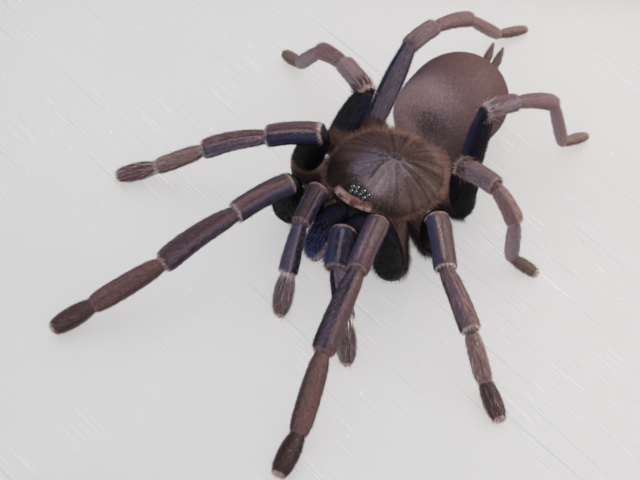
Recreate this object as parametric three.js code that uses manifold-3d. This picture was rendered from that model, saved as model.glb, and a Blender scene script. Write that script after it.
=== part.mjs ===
// A tarantula posed on a white backing board, in a plain wooden frame that lies on its back.
// Millimetres, +Z up, origin in the middle of the back.
import * as THREE from "three";
import { mergeVertices } from "three/addons/utils/BufferGeometryUtils.js";
import Module from "manifold-3d";

const wasm = await Module();
wasm.setup();

const fitGap = 0.3; // clearance between neighbouring pieces

// Frame and board
const frameOuter = 160;
const railWidth = 13;
const railHeight = 12;
const railBevel = 1.2;
const rebateWidth = 4.5; // step behind each rail's inner edge, where the board lies
const boardThickness = 4;
const spiderPlace = [12.5, 6.5]; // middle of the carapace, from the middle of the board
const spiderTurn = -33; // degrees round the vertical

// The spider faces -Y in its own group, with its left side at +X and heights above the board.

// Cephalothorax
const carapaceLength = 21.5;
const carapaceWidth = 19.6;
const rimHeight = 7.2;
const domeRise = 3.2; // top of the carapace above its rim
const headRise = 0.5; // how much higher the head is than the back of the dome
const headBoxiness = 0.55; // 0 slopes the head like the rest, 1 makes its front upright
const eyeMound = { y: -8, z: 10.1, size: [1.7, 1.3, 0.9] };
const sternum = { top: 6, widest: 3.6, edge: 2.6, bottom: 2.4 }; // heights of the underside between the hips
const waist = { radius: 1.5, z: 6, root: 3, reach: 1.2 }; // the narrow stalk that meets the abdomen

// Abdomen and spinnerets
const abdomen = { y: 20.9, z: 8.1, halfSize: [8.8, 10.1, 8.2], bellyDepth: 6.6, rearSwell: 0.06 };
const spinneret = { spread: 1, baseY: 30.4, baseZ: 7.8, tipY: 35, tipZ: 11, drift: -0.6, radius: 0.75 };

// Jaws
const jaw = { x: 2.1, radius: 1.9, base: [-9.8, 5.4], crown: [-13.6, 6], front: [-17.2, 3.6] };
const fang = { from: [1.7, -17.6, 2.6], to: [1.1, -14, 1.3], radius: 0.55 };

// Each coxa runs under the carapace to its hip: distances out from the middle line, along it and up
const coxae = {
  palp: { inner: [4.6, -7.8, 4.6], hip: [5.4, -12.4, 4.6] },
  1: { inner: [6.4, -5.2, 4.6], hip: [10.4, -13.2, 3.4] },
  2: { inner: [6.9, -2.2, 4.6], hip: [13.6, -5, 4.6] },
  3: { inner: [6.9, 2, 4.6], hip: [13, 4.2, 4.6] },
  4: { inner: [5.6, 5.6, 4.6], hip: [9.8, 9.8, 4.6] },
};

// Segment lengths and half thicknesses, from the femur out; the first thickness is the coxa's
const limbs = {
  palp: { lengths: [9, 6.5, 8.5, 7], radii: [1.1, 1.15, 1.45, 1.4, 1.5] },
  1: { lengths: [13, 10, 14, 13, 7.5], radii: [1.9, 2.6, 1.8, 1.75, 1.65, 1.55] },
  2: { lengths: [10, 9, 11.5, 9, 7], radii: [1.9, 2.5, 1.85, 1.5, 1.3, 1.35] },
  3: { lengths: [9.5, 7.5, 7, 8.5, 5], radii: [1.9, 2.2, 1.65, 1.35, 1.1, 0.95] },
  4: { lengths: [16, 6.5, 10.5, 12, 6.5], radii: [1.9, 1.85, 1.5, 1.2, 0.95, 0.8] },
};
const footClearance = 0.15; // foot pads above the board

// Pose: heading of each segment round the vertical, from +X, and its rise, in degrees.
// The last segment of a limb takes the rise that sets its pad on the board.
const poses = {
  palp_right: { limb: "palp", heading: [-54, -79, -72, -67], rise: [77, -16, -46] },
  palp_left: { limb: "palp", heading: [-110, -63, -42, -48], rise: [52, -19, -28] },
  leg_1_right: { limb: 1, heading: [-58, -110, -115, -120, -117], rise: [67, -7, -23, -23] },
  leg_2_right: { limb: 2, heading: [14, -153, -147, -140, -142], rise: [74, -16, -22, -27] },
  leg_3_right: { limb: 3, heading: [83, 156, 164, 168, 160], rise: [42, 2, -17, -54] },
  leg_4_right: { limb: 4, heading: [95, 84, 79, 78, 65], rise: [40, -2, -22, -46] },
  leg_1_left: { limb: 1, heading: [-120, -74, -77, -72, -78], rise: [76, -4, -23, -32] },
  leg_2_left: { limb: 2, heading: [-66, -46, -35, -20, -36], rise: [72, -14, -10, -57] },
  leg_3_left: { limb: 3, heading: [173, -11, -4, -1, 1], rise: [82, 10, -48, -87] },
  leg_4_left: { limb: 4, heading: [56, 72, 70, 68, 74], rise: [83, -11, -29, -72] },
};

// Fineness of the faceted surfaces
const limbSides = 8;
const carapaceSides = 32;
const abdomenSides = 24;
const abdomenRings = 14;

const wood = new THREE.MeshStandardMaterial({ color: 0x2b211b, roughness: 0.55 });
const whiteBoard = new THREE.MeshStandardMaterial({ color: 0xdcdcda, roughness: 0.5 });
const carapaceSkin = new THREE.MeshStandardMaterial({ color: 0x4a3b36, roughness: 0.6 });
const velvet = new THREE.MeshStandardMaterial({ color: 0x4d3a38, roughness: 0.85 });
const legSkin = new THREE.MeshStandardMaterial({ color: 0x453843, roughness: 0.7 });
const jawSkin = new THREE.MeshStandardMaterial({ color: 0x1c2033, roughness: 0.5 });

// Joining and cutting of closed meshes
function solidOf(geometry) {
  geometry.deleteAttribute("normal");
  geometry.deleteAttribute("uv");
  const merged = mergeVertices(geometry, 1e-4);
  return new wasm.Manifold(
    new wasm.Mesh({
      numProp: 3,
      vertProperties: merged.attributes.position.array,
      triVerts: new Uint32Array(merged.index.array),
    }),
  );
}

function geometryOf(solid) {
  const mesh = solid.getMesh();
  const geometry = new THREE.BufferGeometry();
  geometry.setAttribute("position", new THREE.BufferAttribute(mesh.vertProperties, 3));
  geometry.setIndex(new THREE.BufferAttribute(mesh.triVerts, 1));
  geometry.computeVertexNormals();
  return geometry;
}

function moveVertices(geometry, move) {
  const position = geometry.attributes.position;
  const point = new THREE.Vector3();
  for (let i = 0; i < position.count; i++) {
    point.fromBufferAttribute(position, i);
    move(point);
    position.setXYZ(i, point.x, point.y, point.z);
  }
  return geometry;
}

function named(name, solid, material) {
  const mesh = new THREE.Mesh(geometryOf(solid), material);
  mesh.name = name;
  return mesh;
}

// A round body turned about the line between two points; the profile holds [radius, distance] pairs
function turned(from, to, profile) {
  const axis = to.clone().sub(from).normalize();
  const points = profile.map(([radius, distance]) => new THREE.Vector2(radius, distance));
  const turn = new THREE.Quaternion().setFromUnitVectors(new THREE.Vector3(0, 1, 0), axis);
  const geometry = new THREE.LatheGeometry(points, limbSides);
  return solidOf(geometry.applyQuaternion(turn).translate(from.x, from.y, from.z));
}

// A leg segment: full in the middle, drawn in at both joints, with ends that reach into its neighbours
function segment(from, to, radius) {
  const length = from.distanceTo(to);
  const overlap = 0.45 * radius;
  return turned(from, to, [
    [0, -overlap],
    [0.58 * radius, -0.6 * overlap],
    [0.88 * radius, 0.07 * length],
    [radius, 0.35 * length],
    [radius, 0.72 * length],
    [0.88 * radius, 0.94 * length],
    [0.55 * radius, length + 0.6 * overlap],
    [0, length + overlap],
  ]);
}

// The last segment: swells towards its pad and ends round
function foot(from, to, radius) {
  const length = from.distanceTo(to);
  return turned(from, to, [
    [0, -0.45 * radius],
    [0.55 * radius, -0.27 * radius],
    [0.82 * radius, 0.08 * length],
    [radius, 0.5 * length],
    [0.98 * radius, length - radius],
    [0.72 * radius, length - 0.32 * radius],
    [0, length],
  ]);
}

// The hip's own segment under the carapace: widens outwards
function coxa(from, to, radius) {
  const length = from.distanceTo(to);
  return turned(from, to, [
    [0, -0.2],
    [0.62 * radius, 0],
    [0.82 * radius, 0.45 * length],
    [radius, 0.85 * length],
    [0.72 * radius, length + 0.5 * radius],
    [0, length + 0.75 * radius],
  ]);
}

// Rounded carapace on a narrower sternum. Growing it gives the clearance that its neighbours are cut to.
function cephalothoraxSolid(grow) {
  const profile = [
    [0, domeRise],
    [0.3, 0.975 * domeRise],
    [0.55, 0.9 * domeRise],
    [0.74, 0.76 * domeRise],
    [0.87, 0.54 * domeRise],
    [0.96, 0.26 * domeRise],
    [1, 0],
    [0.97, -0.2 - grow],
    [0.66, -0.2 - grow],
    [0.58, sternum.top - rimHeight],
    [0.56, sternum.widest - rimHeight],
    [0.45, sternum.edge - rimHeight],
    [0, sternum.bottom - rimHeight],
  ].reverse();
  const points = profile.map(([share, height]) => new THREE.Vector2(share, height));
  const body = new THREE.LatheGeometry(points, carapaceSides).rotateX(Math.PI / 2);
  moveVertices(body, (p) => {
    const share = Math.hypot(p.x, p.y);
    const forward = share > 0 ? Math.max(0, -p.y / share) ** 2 * Math.min(1, share / 0.55) : 0;
    if (p.z > 0) {
      const shaped = (p.z / domeRise) ** (1 - headBoxiness * forward);
      p.z = shaped * (domeRise + headRise * forward) + grow;
    }
    p.x *= carapaceWidth / 2 + grow;
    p.y *= carapaceLength / 2 + grow;
    p.z += rimHeight;
  });
  const mound = new THREE.SphereGeometry(1, 12, 8);
  mound.scale(...eyeMound.size).translate(0, eyeMound.y, eyeMound.z + grow);
  const stalkStart = new THREE.Vector3(0, 0.5 * carapaceLength - waist.root, waist.z);
  const stalkEnd = new THREE.Vector3(0, 0.5 * carapaceLength + waist.reach + grow, waist.z);
  const stalk = segment(stalkStart, stalkEnd, waist.radius + grow);
  return solidOf(body).add(solidOf(mound)).add(stalk);
}

function abdomenSolid(grow) {
  const egg = new THREE.SphereGeometry(1, abdomenSides, abdomenRings).rotateX(Math.PI / 2);
  moveVertices(egg, (p) => {
    const swell = 1 + abdomen.rearSwell * p.y;
    p.x *= (abdomen.halfSize[0] + grow) * swell;
    p.y = abdomen.y + p.y * (abdomen.halfSize[1] + grow);
    const halfHeight = p.z > 0 ? abdomen.halfSize[2] : abdomen.bellyDepth;
    p.z = abdomen.z + p.z * (halfHeight + grow) * swell;
  });
  return solidOf(egg);
}

function jawSolid(side) {
  const at = ([y, z]) => new THREE.Vector3(side * jaw.x, y, z);
  const fangAt = ([x, y, z]) => new THREE.Vector3(side * x, y, z);
  const upper = segment(at(jaw.base), at(jaw.crown), jaw.radius);
  const lower = segment(at(jaw.crown), at(jaw.front), jaw.radius);
  return upper.add(lower).add(segment(fangAt(fang.from), fangAt(fang.to), fang.radius));
}

function spinneretSolid(side) {
  const base = new THREE.Vector3(side * 0.8 * spinneret.spread, spinneret.baseY, spinneret.baseZ);
  const tip = new THREE.Vector3(side * spinneret.spread + spinneret.drift, spinneret.tipY, spinneret.tipZ);
  return foot(base, tip, spinneret.radius);
}

function onCoxa([out, along, height], side) {
  return new THREE.Vector3(side * out, along, height);
}

// The joints of a posed limb from the hip to the tip
function jointsOf(pose, side) {
  const { lengths, radii } = limbs[pose.limb];
  const joints = [onCoxa(coxae[pose.limb].hip, side)];
  lengths.forEach((length, i) => {
    const last = joints[i];
    const padRadius = radii[i + 1];
    const landing = Math.asin((padRadius + footClearance - last.z) / (length - padRadius));
    const rise = i < pose.rise.length ? THREE.MathUtils.degToRad(pose.rise[i]) : landing;
    const heading = THREE.MathUtils.degToRad(pose.heading[i]);
    const level = length * Math.cos(rise);
    const step = new THREE.Vector3(
      level * Math.cos(heading),
      level * Math.sin(heading),
      length * Math.sin(rise),
    );
    joints.push(last.clone().add(step));
  });
  return joints;
}

function limbSolid(pose, side) {
  const { radii } = limbs[pose.limb];
  const joints = jointsOf(pose, side);
  let solid = coxa(onCoxa(coxae[pose.limb].inner, side), joints[0], radii[0]);
  for (let i = 1; i < joints.length; i++) {
    const shape = i === joints.length - 1 ? foot : segment;
    solid = solid.add(shape(joints[i - 1], joints[i], radii[i]));
  }
  return solid;
}

// One side of the frame: an extruded section with a rebate, cut to a mitre at both ends
function railSolid() {
  const outer = frameOuter / 2;
  const inner = outer - railWidth;
  const shelf = boardThickness + fitGap;
  const section = new THREE.Shape();
  section.moveTo(0, 0);
  section.lineTo(railWidth - rebateWidth, 0);
  section.lineTo(railWidth - rebateWidth, shelf);
  section.lineTo(railWidth, shelf);
  section.lineTo(railWidth, railHeight - railBevel);
  section.lineTo(railWidth - railBevel, railHeight);
  section.lineTo(railBevel, railHeight);
  section.lineTo(0, railHeight - railBevel);
  const bar = new THREE.ExtrudeGeometry(section, { depth: frameOuter, bevelEnabled: false });
  const alongX = new THREE.Matrix4().makeBasis(
    new THREE.Vector3(0, 1, 0),
    new THREE.Vector3(0, 0, 1),
    new THREE.Vector3(1, 0, 0),
  );
  bar.applyMatrix4(alongX).translate(-outer, -outer, 0);
  const saw = fitGap * Math.SQRT1_2;
  const plan = new THREE.Shape();
  plan.moveTo(saw - outer, -outer);
  plan.lineTo(outer - saw, -outer);
  plan.lineTo(inner - saw, -inner);
  plan.lineTo(saw - inner, -inner);
  const mitre = new THREE.ExtrudeGeometry(plan, { depth: railHeight, bevelEnabled: false });
  return solidOf(bar).intersect(solidOf(mitre));
}

const framedTarantula = new THREE.Group();

["front", "right", "back", "left"].forEach((place, i) => {
  const rail = named("frame_rail_" + place, railSolid(), wood);
  rail.rotation.z = (i * Math.PI) / 2;
  framedTarantula.add(rail);
});

const boardSide = frameOuter - 2 * (railWidth - rebateWidth + fitGap);
const board = new THREE.Mesh(new THREE.BoxGeometry(boardSide, boardSide, boardThickness), whiteBoard);
board.name = "backing_board";
board.position.z = boardThickness / 2;
framedTarantula.add(board);

// The spider is modelled about the middle of its carapace, with the board's face as its zero height
const spider = new THREE.Group();
spider.position.set(...spiderPlace, boardThickness);
spider.rotation.z = THREE.MathUtils.degToRad(spiderTurn);
framedTarantula.add(spider);

spider.add(named("cephalothorax", cephalothoraxSolid(0), carapaceSkin));
spider.add(named("abdomen", abdomenSolid(0).subtract(cephalothoraxSolid(fitGap)), velvet));
const sides = { left: 1, right: -1 };
for (const [sideName, side] of Object.entries(sides)) {
  const jawCut = jawSolid(side).subtract(cephalothoraxSolid(fitGap));
  spider.add(named("chelicera_" + sideName, jawCut, jawSkin));
  const spinneretCut = spinneretSolid(side).subtract(abdomenSolid(fitGap));
  spider.add(named("spinneret_" + sideName, spinneretCut, velvet));
}
for (const [name, pose] of Object.entries(poses)) {
  const side = name.endsWith("left") ? sides.left : sides.right;
  spider.add(named(name, limbSolid(pose, side).subtract(cephalothoraxSolid(fitGap)), legSkin));
}

export default framedTarantula;
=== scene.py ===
# Finish, hair and light for a tarantula specimen on a white board in a wooden frame
import bpy
import math
import numpy as np
from mathutils import Matrix


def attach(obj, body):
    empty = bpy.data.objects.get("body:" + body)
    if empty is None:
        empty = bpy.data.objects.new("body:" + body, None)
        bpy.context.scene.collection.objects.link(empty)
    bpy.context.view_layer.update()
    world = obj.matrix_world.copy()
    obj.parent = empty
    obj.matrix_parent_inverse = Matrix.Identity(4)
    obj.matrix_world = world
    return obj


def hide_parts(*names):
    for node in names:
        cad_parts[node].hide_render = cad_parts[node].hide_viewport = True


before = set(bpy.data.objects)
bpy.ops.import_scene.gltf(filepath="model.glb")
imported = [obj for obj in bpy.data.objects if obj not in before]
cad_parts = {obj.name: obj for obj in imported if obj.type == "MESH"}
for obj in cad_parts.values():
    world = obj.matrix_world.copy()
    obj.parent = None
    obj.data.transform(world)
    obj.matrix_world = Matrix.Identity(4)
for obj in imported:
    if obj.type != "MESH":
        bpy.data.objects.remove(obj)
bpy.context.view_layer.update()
print("frame loaded,", len(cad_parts), "nodes")

metre = 0.001  # lengths below are in millimetres
scene = bpy.context.scene

# Camera at the photograph's angle
view = {"target": (2.26, -2.11, 4.0), "distance": 333.0, "elevation": 49.0, "roll": 4.0, "lens": 112.0,
        "sensor": 36.0}


def aim(thing, right, up, back, place):  # puts a camera or a lamp in the scene, looking away from its back
    axes = np.eye(4)
    axes[:3] = np.stack([right, up, back, place], 1)
    thing.matrix_world = Matrix(axes.tolist())
    scene.collection.objects.link(thing)


def setCamera():
    tilt, roll = math.radians(view["elevation"]), math.radians(view["roll"])
    back = np.array([0.0, -math.cos(tilt), math.sin(tilt)])
    right = np.array([1.0, 0.0, 0.0])
    up = np.cross(back, right)
    rolledRight = right * math.cos(roll) + up * math.sin(roll)
    rolledUp = up * math.cos(roll) - right * math.sin(roll)
    data = bpy.data.cameras.new("camera")
    data.lens = view["lens"]
    data.sensor_width = view["sensor"]
    data.clip_start = 0.01
    camera = bpy.data.objects.new("camera", data)
    aim(camera, rolledRight, rolledUp, back, (np.array(view["target"]) + view["distance"] * back) * metre)
    scene.camera = camera


setCamera()
print("camera set")


# Colours are written as seen, 0 to 255
def paint(red, green, blue):
    seen = np.array([red, green, blue]) / 255
    linear = np.where(seen <= 0.04045, seen / 12.92, ((seen + 0.055) / 1.055) ** 2.4)
    return (*linear.tolist(), 1.0)


class Wire:  # a node's output whose maths adds nodes
    def __init__(self, finish, socket):
        self.finish = finish
        self.socket = socket

    def maths(self, operation, first, second):
        return self.finish.node("ShaderNodeMath", {"operation": operation}, {0: first, 1: second})

    def __add__(self, other):
        return self.maths("ADD", self, other)

    def __radd__(self, other):
        return self.maths("ADD", other, self)

    def __sub__(self, other):
        return self.maths("SUBTRACT", self, other)

    def __rsub__(self, other):
        return self.maths("SUBTRACT", other, self)

    def __mul__(self, other):
        return self.maths("MULTIPLY", self, other)

    def __rmul__(self, other):
        return self.maths("MULTIPLY", other, self)

    def rise(self, low, high):  # 0 up to low, 1 from high on
        sockets = {"Value": self, "From Min": low, "From Max": high}
        return self.finish.node("ShaderNodeMapRange", {"interpolation_type": "SMOOTHSTEP"}, sockets)

    def fall(self, low, high):
        return 1 - self.rise(low, high)

    def hump(self, centre, reach):  # 1 at the centre, 0 past its reach
        return self.rise(centre - reach, centre) * self.fall(centre, centre + reach)


class Finish:  # one material and its nodes
    def __init__(self, name):
        self.material = bpy.data.materials.new(name)
        self.material.use_nodes = True
        self.tree = self.material.node_tree
        self.tree.nodes.clear()

    def node(self, kind, settings=None, sockets=None, output=0):
        made = self.tree.nodes.new(kind)
        for key, value in (settings or {}).items():
            setattr(made, key, value)
        for key, value in (sockets or {}).items():
            self.feed(made.inputs[key], value)
        return Wire(self, made.outputs[output])

    def feed(self, socket, value):
        if isinstance(value, Wire):
            self.tree.links.new(value.socket, socket)
        else:
            socket.default_value = value

    def field(self, name):
        return self.node("ShaderNodeAttribute", {"attribute_name": name}, {}, "Fac")

    def place(self):
        return self.node("ShaderNodeTexCoord", {}, {}, "Object")

    def triple(self, x, y, z):
        return self.node("ShaderNodeCombineXYZ", {}, {0: x, 1: y, 2: z})

    def turned(self, vector, degrees, scale):  # turned about Z first, then stretched
        sockets = {"Vector": vector, "Rotation": (0, 0, math.radians(degrees))}
        turned = self.node("ShaderNodeMapping", {}, sockets)
        return self.node("ShaderNodeVectorMath", {"operation": "MULTIPLY"}, {0: turned, 1: scale})

    def noise(self, vector, scale, detail=3.0, roughness=0.5):
        sockets = {"Vector": vector, "Scale": scale, "Detail": detail, "Roughness": roughness}
        return self.node("ShaderNodeTexNoise", {}, sockets)

    def mix(self, factor, first, second):
        return self.node("ShaderNodeMix", {"data_type": "RGBA"}, {0: factor, 6: first, 7: second}, 2)

    def bump(self, height, distance, strength=1.0):
        sockets = {"Height": height, "Distance": distance * metre, "Strength": strength}
        return self.node("ShaderNodeBump", {}, sockets)

    def surface(self, **sockets):  # the shader; names are its sockets without spaces
        made = self.tree.nodes.new("ShaderNodeBsdfPrincipled")
        names = {socket.name.replace(" ", ""): socket for socket in made.inputs}
        for key, value in sockets.items():
            self.feed(names[key], value)
        end = self.tree.nodes.new("ShaderNodeOutputMaterial")
        self.tree.links.new(made.outputs[0], end.inputs[0])
        return self.material


# Meshes from arrays of points in millimetres
spider = {"place": (12.5, 6.5, 4.0), "turn": -33.0}  # its middle on the board's face, and its turn


def spiderTurned(points):
    turn = math.radians(spider["turn"])
    axes = np.array([[math.cos(turn), -math.sin(turn), 0], [math.sin(turn), math.cos(turn), 0], [0, 0, 1]])
    return points @ axes.T


def makePiece(name, points, faces, materials, looks=None, fields=None, normals=None, replaced=()):
    mesh = bpy.data.meshes.new(name)
    placed = (spiderTurned(points) + spider["place"]) * metre
    mesh.vertices.add(len(points))
    mesh.vertices.foreach_set("co", placed.astype(np.float32).ravel())
    mesh.loops.add(faces.size)
    mesh.loops.foreach_set("vertex_index", faces.astype(np.int32).ravel())
    mesh.polygons.add(len(faces))
    mesh.polygons.foreach_set("loop_start", np.arange(0, faces.size, faces.shape[1], dtype=np.int32))
    mesh.polygons.foreach_set("use_smooth", np.full(len(faces), True))
    for material in materials:
        mesh.materials.append(material)
    if looks is not None:
        mesh.polygons.foreach_set("material_index", looks.astype(np.int32))
    for key, values in (fields or {}).items():
        mesh.attributes.new(key, "FLOAT", "POINT").data.foreach_set("value", values.astype(np.float32))
    mesh.update(calc_edges=True)
    if normals is not None:
        mesh.normals_split_custom_set_from_vertices(spiderTurned(normals).tolist())
    piece = bpy.data.objects.new(name, mesh)
    scene.collection.objects.link(piece)
    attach(piece, "root")
    if replaced:
        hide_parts(*replaced)


def ringFaces(rings, sides):  # triangles over rings of points, with a pole point after them at each end
    ring, side = np.meshgrid(np.arange(rings - 1), np.arange(sides), indexing="ij")
    a = ring * sides + side
    b = ring * sides + (side + 1) % sides
    c, d = a + sides, b + sides
    body = np.concatenate([np.stack([a, b, d], -1).reshape(-1, 3), np.stack([a, d, c], -1).reshape(-1, 3)])
    edge = np.arange(sides)
    after = (edge + 1) % sides
    first, last = rings * sides, rings * sides + 1
    start = np.stack([np.full(sides, first), after, edge], -1)
    top = (rings - 1) * sides
    finish = np.stack([np.full(sides, last), top + edge, top + after], -1)
    return np.concatenate([body, start, finish])


def smoothLine(points, steps):  # a smooth curve through a few points
    points = np.array(points, float)
    padded = np.concatenate([points[:1], points, points[-1:]])
    t = np.linspace(0, 1, steps, endpoint=False)[:, None]
    runs = []
    for a, b, c, d in zip(padded, padded[1:], padded[2:], padded[3:]):
        bend = (2 * a - 5 * b + 4 * c - d) * t**2 + (3 * b - a - 3 * c + d) * t**3
        runs.append(0.5 * (2 * b + (c - a) * t + bend))
    return np.concatenate(runs + [points[-1:]])


def unit(vectors):
    return vectors / np.linalg.norm(vectors, axis=-1, keepdims=True)


def ramp(value, width):  # 0 to 1 over a width
    return np.clip(value / width, 0, 1)


def bell(value, width):
    return np.exp(-((value / width) ** 2))


def joined(shells):  # one mesh of several: points, faces, and which shell each face is from
    counts = [len(points) for points, _ in shells]
    starts = np.cumsum([0] + counts)
    faces = np.concatenate([part + start for (_, part), start in zip(shells, starts)])
    looks = np.repeat(np.arange(len(shells)), [len(part) for _, part in shells])
    return np.concatenate([points for points, _ in shells]), faces, looks


# Hair: short ones are one tapering triangle, long ones a drooping strip of three
shades = {
    "ink": (4, 3, 6),
    "velvet": (28, 23, 36),
    "soot": (30, 21, 22),
    "navy": (36, 38, 66),
    "royal": (46, 51, 90),
    "slate": (62, 60, 82),
    "violet": (88, 76, 98),
    "cedar": (56, 39, 35),
    "plum": (66, 51, 60),
    "umber": (68, 49, 49),
    "cocoa": (93, 69, 71),
    "russet": (110, 82, 79),
    "mauve": (115, 90, 94),
    "fawn": (132, 106, 105),
    "ash": (96, 84, 91),
    "lilac": (132, 117, 123),
    "rose": (152, 124, 120),
    "blush": (178, 154, 150),
    "ivory": (222, 204, 198),
    "bark": (84, 59, 49),
    "gold": (118, 88, 71),
    "olive": (103, 87, 74),
}
shadeNames = list(shades)
hairLook = {"gain": 1.55, "roughness": 0.5, "gloss": 0.3, "dark": 60, "darkGloss": 0.04}


def hairFinish(name):
    hair = Finish("hair_" + name)
    colour = [min(1.0, hairLook["gain"] * part) for part in paint(*shades[name])[:3]]
    gloss = hairLook["darkGloss"] if max(shades[name]) < hairLook["dark"] else hairLook["gloss"]
    return hair.surface(BaseColor=(*colour, 1.0), Roughness=hairLook["roughness"], SpecularIORLevel=gloss)


hairFinishes = [hairFinish(name) for name in shadeNames]


def shade(words):
    return np.array([shadeNames.index(name) for name in words.split()])


def pick(words, level):  # shades listed from dark to light, chosen by levels from 0 to 1
    listed = shade(words)
    return listed[np.clip((level * len(listed)).astype(int), 0, len(listed) - 1)]


class Coat:  # gathers hairs and makes them one piece, shaded as the skin below them
    def __init__(self, seed):
        self.draw = np.random.default_rng(seed)
        self.points, self.normals, self.faces, self.looks = [], [], [], []
        self.count = 0

    def keep(self, rows, normal, shape, looks):
        points = np.stack(rows, 1)
        faces = np.arange(len(points))[:, None, None] * len(rows) + np.array(shape) + self.count
        toned = unit(normal + self.draw.normal(0, 0.16, normal.shape))
        self.points.append(points.reshape(-1, 3))
        self.normals.append(np.repeat(toned, len(rows), 0))
        self.faces.append(faces.reshape(-1, 3))
        self.looks.append(np.repeat(looks, len(shape)))
        self.count += len(points) * len(rows)

    def across(self, along, normal):  # the flat of a hair looks outward, rolled a little
        flat = unit(np.cross(along, normal + self.draw.normal(0, 0.02, normal.shape)))
        roll = self.draw.normal(0, 0.5, (len(along), 1))
        return flat * np.cos(roll) + np.cross(along, flat) * np.sin(roll)

    def short(self, roots, normal, along, lengths, width, looks):
        half = self.across(along, normal) * width / 2
        rows = [roots - half, roots + half, roots + along * lengths[:, None]]
        self.keep(rows, normal, [[0, 1, 2]], looks)

    def long(self, roots, normal, along, lengths, width, looks, droop):
        half = self.across(along, normal) * width / 2
        reach = along * lengths[:, None]
        sag = np.array([0, 0, -1.0]) * (droop * lengths)[:, None]
        middle = roots + 0.55 * reach + 0.3 * sag
        rows = [roots - half, roots + half, middle - 0.7 * half, middle + 0.7 * half, roots + reach + sag]
        self.keep(rows, normal, [[0, 1, 3], [0, 3, 2], [2, 3, 4]], looks)

    def piece(self, name, slot):
        used, looks = np.unique(np.concatenate(self.looks), return_inverse=True)
        points = np.concatenate(self.points)
        points[:, 2] = np.maximum(points[:, 2], 0.02)  # hairs stop at the board's face
        makePiece(name, points, np.concatenate(self.faces), [hairFinishes[i] for i in used], looks,
                  normals=np.concatenate(self.normals))


def raisedFrom(draw, normal, towards, low, high, stray):  # directions over the skin, lifted by degrees
    flat = unit(towards - normal * np.sum(towards * normal, 1, keepdims=True))
    lift = np.radians(draw.uniform(low, high, len(normal)))[:, None]
    flat = unit(flat + draw.normal(0, stray, normal.shape))
    return unit(flat * np.cos(lift) + normal * np.sin(lift))


# Limbs: the lengths and poses of the solids, a little fuller at some hips and knees
footClearance = 0.15
coxae = {
    "palp": dict(inner=(4.6, -7.8, 4.6), hip=(5.4, -12.4, 4.6)),
    1: dict(inner=(6.4, -5.2, 4.6), hip=(10.4, -13.2, 3.4)),
    2: dict(inner=(6.9, -2.2, 4.6), hip=(13.6, -5, 4.6)),
    3: dict(inner=(6.9, 2, 4.6), hip=(13, 4.2, 4.6)),
    4: dict(inner=(5.6, 5.6, 4.6), hip=(9.8, 9.8, 4.6)),
}
limbs = {
    "palp": dict(lengths=(9, 6.5, 8.5, 7), radii=(1.1, 1.15, 1.45, 1.4, 1.5)),
    1: dict(lengths=(13, 10, 14, 13, 7.5), radii=(1.9, 2.6, 1.8, 1.75, 1.65, 1.55)),
    2: dict(lengths=(10, 9, 11.5, 9, 7), radii=(1.9, 2.5, 1.85, 1.5, 1.3, 1.35)),
    3: dict(lengths=(9.5, 7.5, 7, 8.5, 5), radii=(1.9, 2.2, 1.65, 1.35, 1.1, 0.95)),
    4: dict(lengths=(16, 6.5, 10.5, 12, 6.5), radii=(1.9, 1.85, 1.5, 1.2, 0.95, 0.8)),
}
# Degrees from the femur out: headings, rises (the board gives the foot's) and turns of the markings
poses = {
    "palp_right": dict(limb="palp", heading=(-54, -79, -72, -67), rise=(77, -16, -46), roll=(0, 2, 24, -30),
                       fullKnee=1.12),
    "palp_left": dict(limb="palp", heading=(-110, -63, -42, -48), rise=(52, -19, -28), roll=(0, 42, -20, -10),
                      fullKnee=1.4),
    "leg_1_right": dict(limb=1, heading=(-58, -110, -115, -120, -117), rise=(67, -7, -23, -23),
                        roll=(0, -3, -10, 30, 30)),
    "leg_2_right": dict(limb=2, heading=(14, -153, -147, -140, -142), rise=(74, -16, -22, -27),
                        roll=(0, 8, 3, 25, 30)),
    "leg_3_right": dict(limb=3, heading=(83, 156, 164, 168, 160), rise=(42, 2, -17, -54)),
    # painted light: the femur's markings are turned 45 degrees so its lighter top lies on its lit side
    "leg_4_right": dict(limb=4, heading=(95, 84, 79, 78, 65), rise=(40, -2, -22, -46), roll=(45, 0, 0, 0, 0)),
    "leg_1_left": dict(limb=1, heading=(-120, -74, -77, -72, -78), rise=(76, -4, -23, -32),
                       roll=(0, -32, -70, -20, -20)),
    "leg_2_left": dict(limb=2, heading=(-66, -46, -35, -20, -36), rise=(72, -14, -10, -57),
                       roll=(0, -33, -44, -20, -20)),
    "leg_3_left": dict(limb=3, heading=(173, -11, -4, -1, 1), rise=(82, 10, -48, -87), fullHip=0.95),
    "leg_4_left": dict(limb=4, heading=(56, 72, 70, 68, 74), rise=(83, -11, -29, -72), roll=(-45, 0, 0, 0, 0),
                       fullHip=1.9),
}
legKinds = ("coxa", "femur", "patella", "tibia", "metatarsus", "tarsus")
palpKinds = ("coxa", "femur", "patella", "tibia", "tarsus")

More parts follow.
